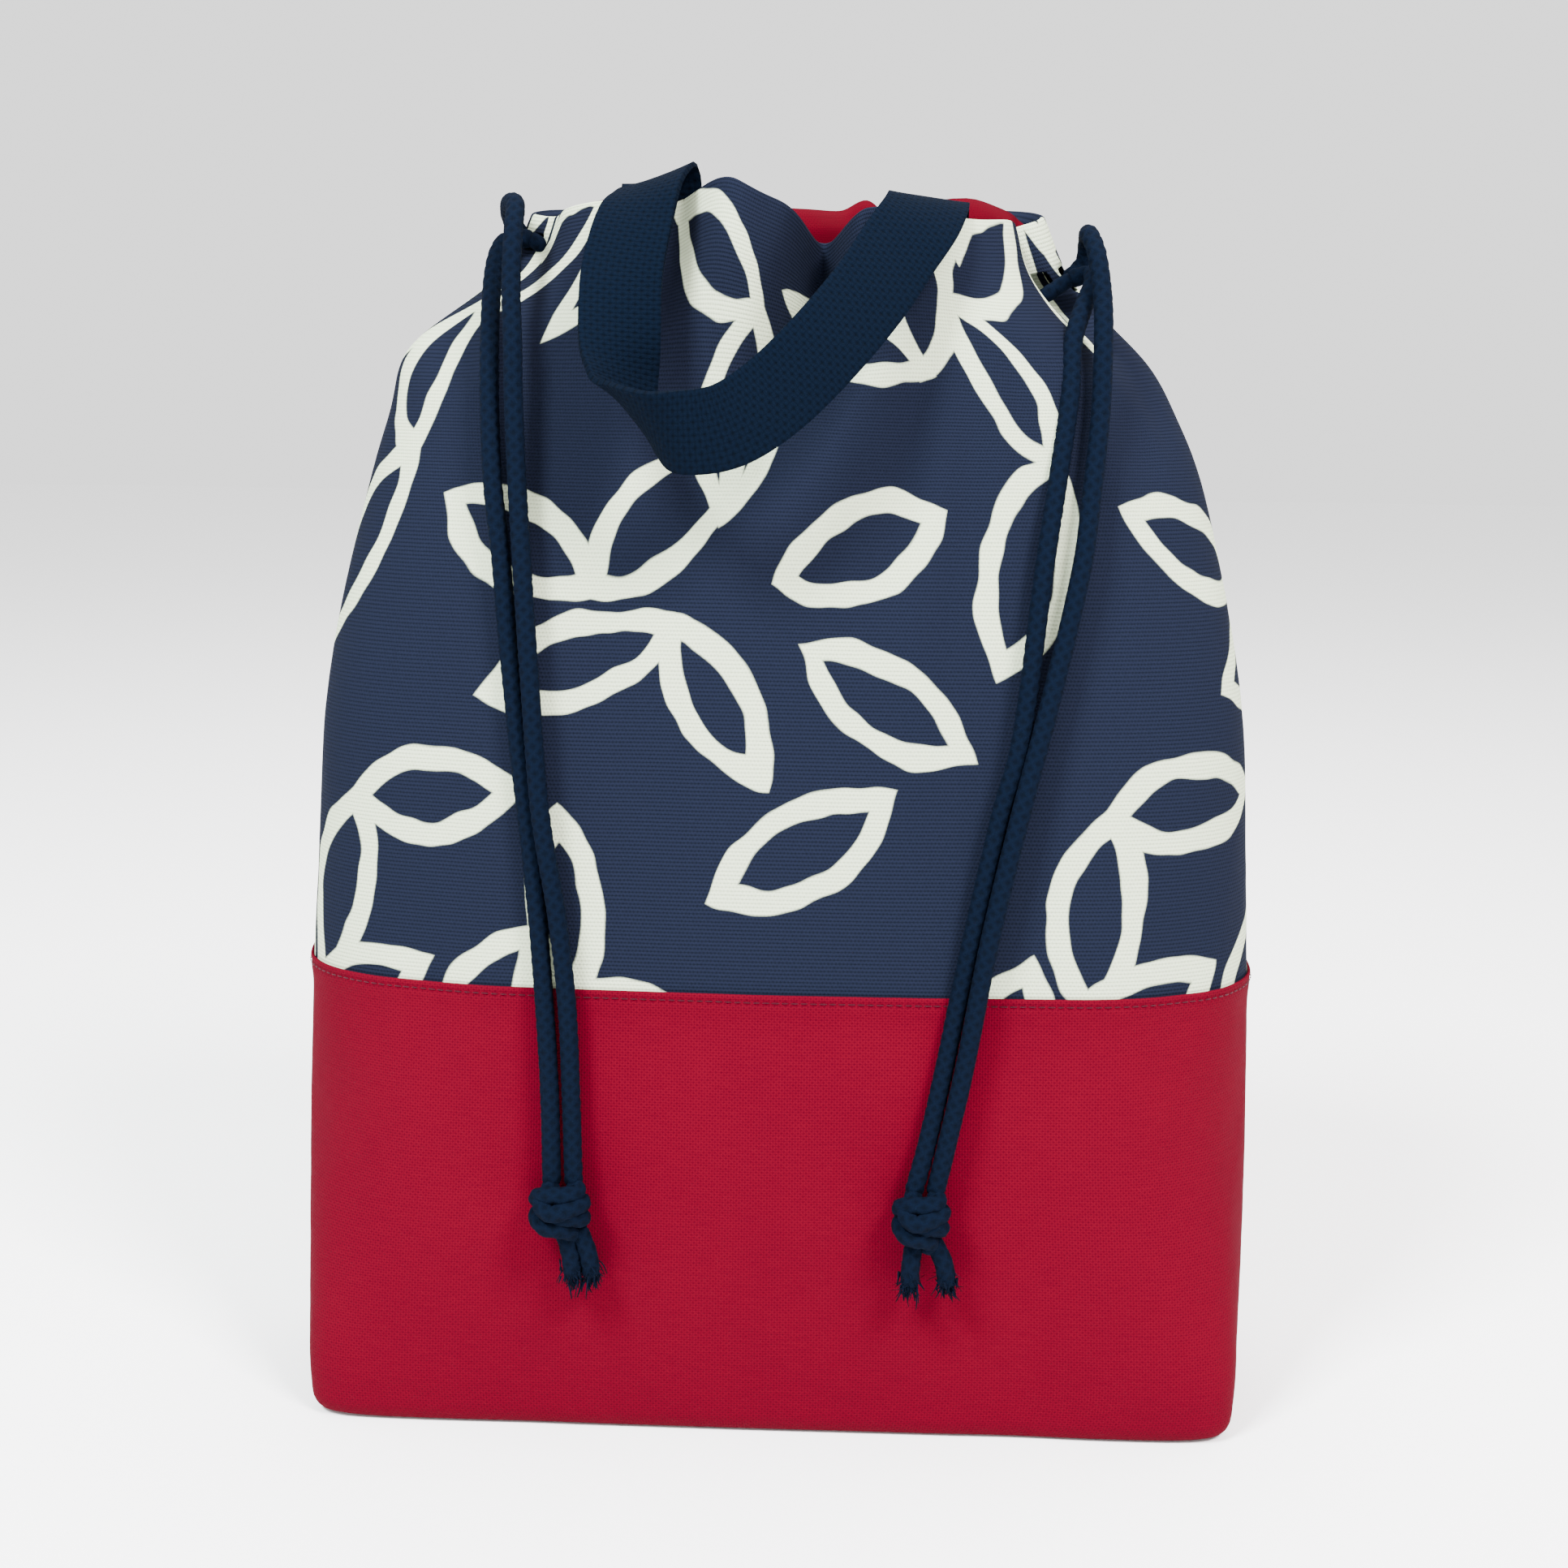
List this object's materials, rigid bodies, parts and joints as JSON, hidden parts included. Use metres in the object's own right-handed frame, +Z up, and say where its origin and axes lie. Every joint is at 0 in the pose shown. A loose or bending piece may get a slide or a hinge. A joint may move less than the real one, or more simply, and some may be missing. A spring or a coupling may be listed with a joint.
{
  "type": "drawstring bag",
  "caption": "Lined two-tone fabric drawstring bag on a boxed base, filled out, with a drawstring at each side and a short webbing handle over its gathered mouth.",
  "frame": {"origin": "on the floor, under the middle of the base", "axes": "+Z up through the mouth, -Y out of the front that the handle and the cords hang over, +X to the right seen from the front"},
  "size_m": [0.318, 0.1391, 0.4082],
  "materials": {
    "print_canvas": "ribbed cotton canvas, printed with pale leaf outlines",
    "base_canvas": "plain-weave cotton canvas",
    "lining_cotton": "thin plain cotton",
    "cotton_webbing": "coarse woven webbing",
    "braided_cord": "round braid"
  },
  "bodies": {
    "bag": {"base_front": "base_canvas", "base_back": "base_canvas", "base_floor": "base_canvas", "print_front": "print_canvas", "print_back": "print_canvas", "casing_front": "print_canvas", "casing_back": "print_canvas", "lining_front": "lining_cotton", "lining_back": "lining_cotton", "lining_floor": "lining_cotton", "left_cord_loop": "braided_cord", "right_cord_loop": "braided_cord", "handle_end_left": "cotton_webbing", "handle_end_right": "cotton_webbing"},
    "handle": {"handle_strap": "cotton_webbing"},
    "left_drawstring": {"left_strand_front": "braided_cord", "left_strand_back": "braided_cord", "left_knot": "braided_cord", "left_tail_a": "braided_cord", "left_tail_b": "braided_cord"},
    "right_drawstring": {"right_strand_front": "braided_cord", "right_strand_back": "braided_cord", "right_knot": "braided_cord", "right_tail_a": "braided_cord", "right_tail_b": "braided_cord"}
  },
  "joints": [
    {"name": "handle_swing", "type": "hinge", "parent": "bag", "child": "handle", "pos_m": [0, -0.0165, 0.4016], "axis": [-1, 0, 0], "range_deg": [0, 150]},
    {"name": "left_drawstring_pull", "type": "slide", "parent": "bag", "child": "left_drawstring", "axis": [0, 0, -1], "range_m": [0, 0.04], "deforming": ["left_strand_front", "left_strand_back"]},
    {"name": "right_drawstring_pull", "type": "slide", "parent": "bag", "child": "right_drawstring", "axis": [0, 0, -1], "range_m": [0, 0.04], "deforming": ["right_strand_front", "right_strand_back"]}
  ]
}
